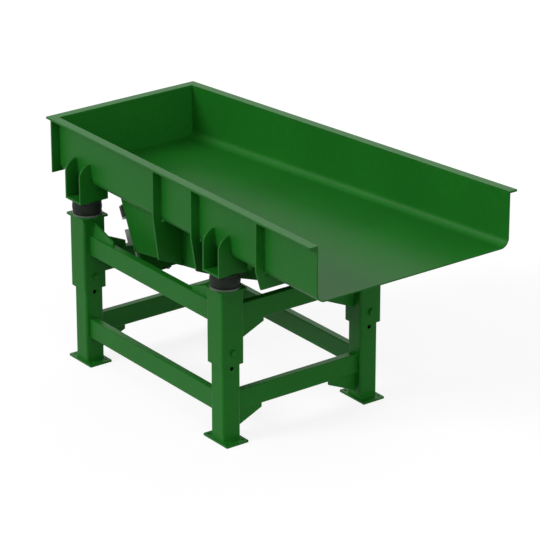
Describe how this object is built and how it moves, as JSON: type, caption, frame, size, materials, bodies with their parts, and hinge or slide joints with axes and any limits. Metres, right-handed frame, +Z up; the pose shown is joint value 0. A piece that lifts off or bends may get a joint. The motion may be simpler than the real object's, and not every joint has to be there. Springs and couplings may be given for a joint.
{
  "type": "linear vibratory feeder",
  "caption": "Open-ended vibrating trough on rubber springs, driven by unbalanced motors under its floor, on a welded frame with height-setting legs.",
  "frame": {"origin": "on the floor, midway between the four foot plates", "axes": "+X along the trough towards its open discharge end, +Y across it towards the flared side, +Z up"},
  "size_m": [2.109, 1.2145, 1.21],
  "materials": {
    "green_paint": "semi-gloss green paint",
    "rubber": "matt black rubber",
    "steel": "zinc plated or ground steel",
    "dark_paint": "dark grey paint",
    "grey_paint": "light grey paint",
    "iron": "bare iron"
  },
  "bodies": {
    "frame": {"foot_plates": "green_paint", "lower_leg_feed_near": "green_paint", "lower_leg_feed_far": "green_paint", "lower_leg_out_near": "green_paint", "lower_leg_out_far": "green_paint", "upper_leg_feed_near": "green_paint", "upper_leg_feed_far": "green_paint", "upper_leg_out_near": "green_paint", "upper_leg_out_far": "green_paint", "leg_caps": "green_paint", "lower_rail_near": "green_paint", "lower_rail_far": "green_paint", "lower_beam_feed": "green_paint", "lower_beam_out": "green_paint", "upper_rail_near": "green_paint", "upper_rail_far": "green_paint", "upper_beam_feed": "green_paint", "upper_beam_out": "green_paint", "rail_gussets": "green_paint", "beam_gussets": "green_paint", "leg_bolts": "green_paint", "leg_nuts": "green_paint", "rubber_springs": "rubber", "lower_discs": "steel", "lower_stud_nuts": "steel"},
    "trough": {"upper_discs": "steel", "upper_stud_nuts": "steel", "pan": "green_paint", "end_plate": "green_paint", "flange_near": "green_paint", "flange_far": "green_paint", "flange_feed": "green_paint", "rib_a_near": "green_paint", "rib_b_near": "green_paint", "rib_c_near": "green_paint", "rib_a_far": "green_paint", "rib_b_far": "green_paint", "rib_c_far": "green_paint", "cross_plates": "green_paint", "web_near": "green_paint", "web_far": "green_paint", "motor_plate": "green_paint", "bracket_feed_near": "green_paint", "bracket_feed_far": "green_paint", "bracket_out_near": "green_paint", "bracket_out_far": "green_paint", "motor_near": "grey_paint", "motor_far": "grey_paint", "motor_covers": "dark_paint", "stators": "iron", "motor_bearings": "steel", "terminal_boxes": "grey_paint", "motor_bolts": "steel", "motor_nuts": "steel"},
    "rotor_near": {"shaft_near": "steel", "weights_near": "iron"},
    "rotor_far": {"shaft_far": "steel", "weights_far": "iron"}
  },
  "joints": [
    {"name": "trough_stroke", "type": "slide", "parent": "frame", "child": "trough", "axis": [0.9063, 0, 0.4226], "range_m": [-0.004, 0.004], "stiffness_N_per_m": 400000, "springref_m": 0.00413, "deforming": ["rubber_springs"]},
    {"name": "motor_spin_near", "type": "hinge", "parent": "trough", "child": "rotor_near", "pos_m": [-0.44391, -0.1525, 0.63018], "axis": [0.4226, 0, -0.9063], "continuous": true},
    {"name": "motor_spin_far", "type": "hinge", "parent": "trough", "child": "rotor_far", "pos_m": [-0.44391, 0.1525, 0.63018], "axis": [0.4226, 0, -0.9063], "continuous": true}
  ]
}
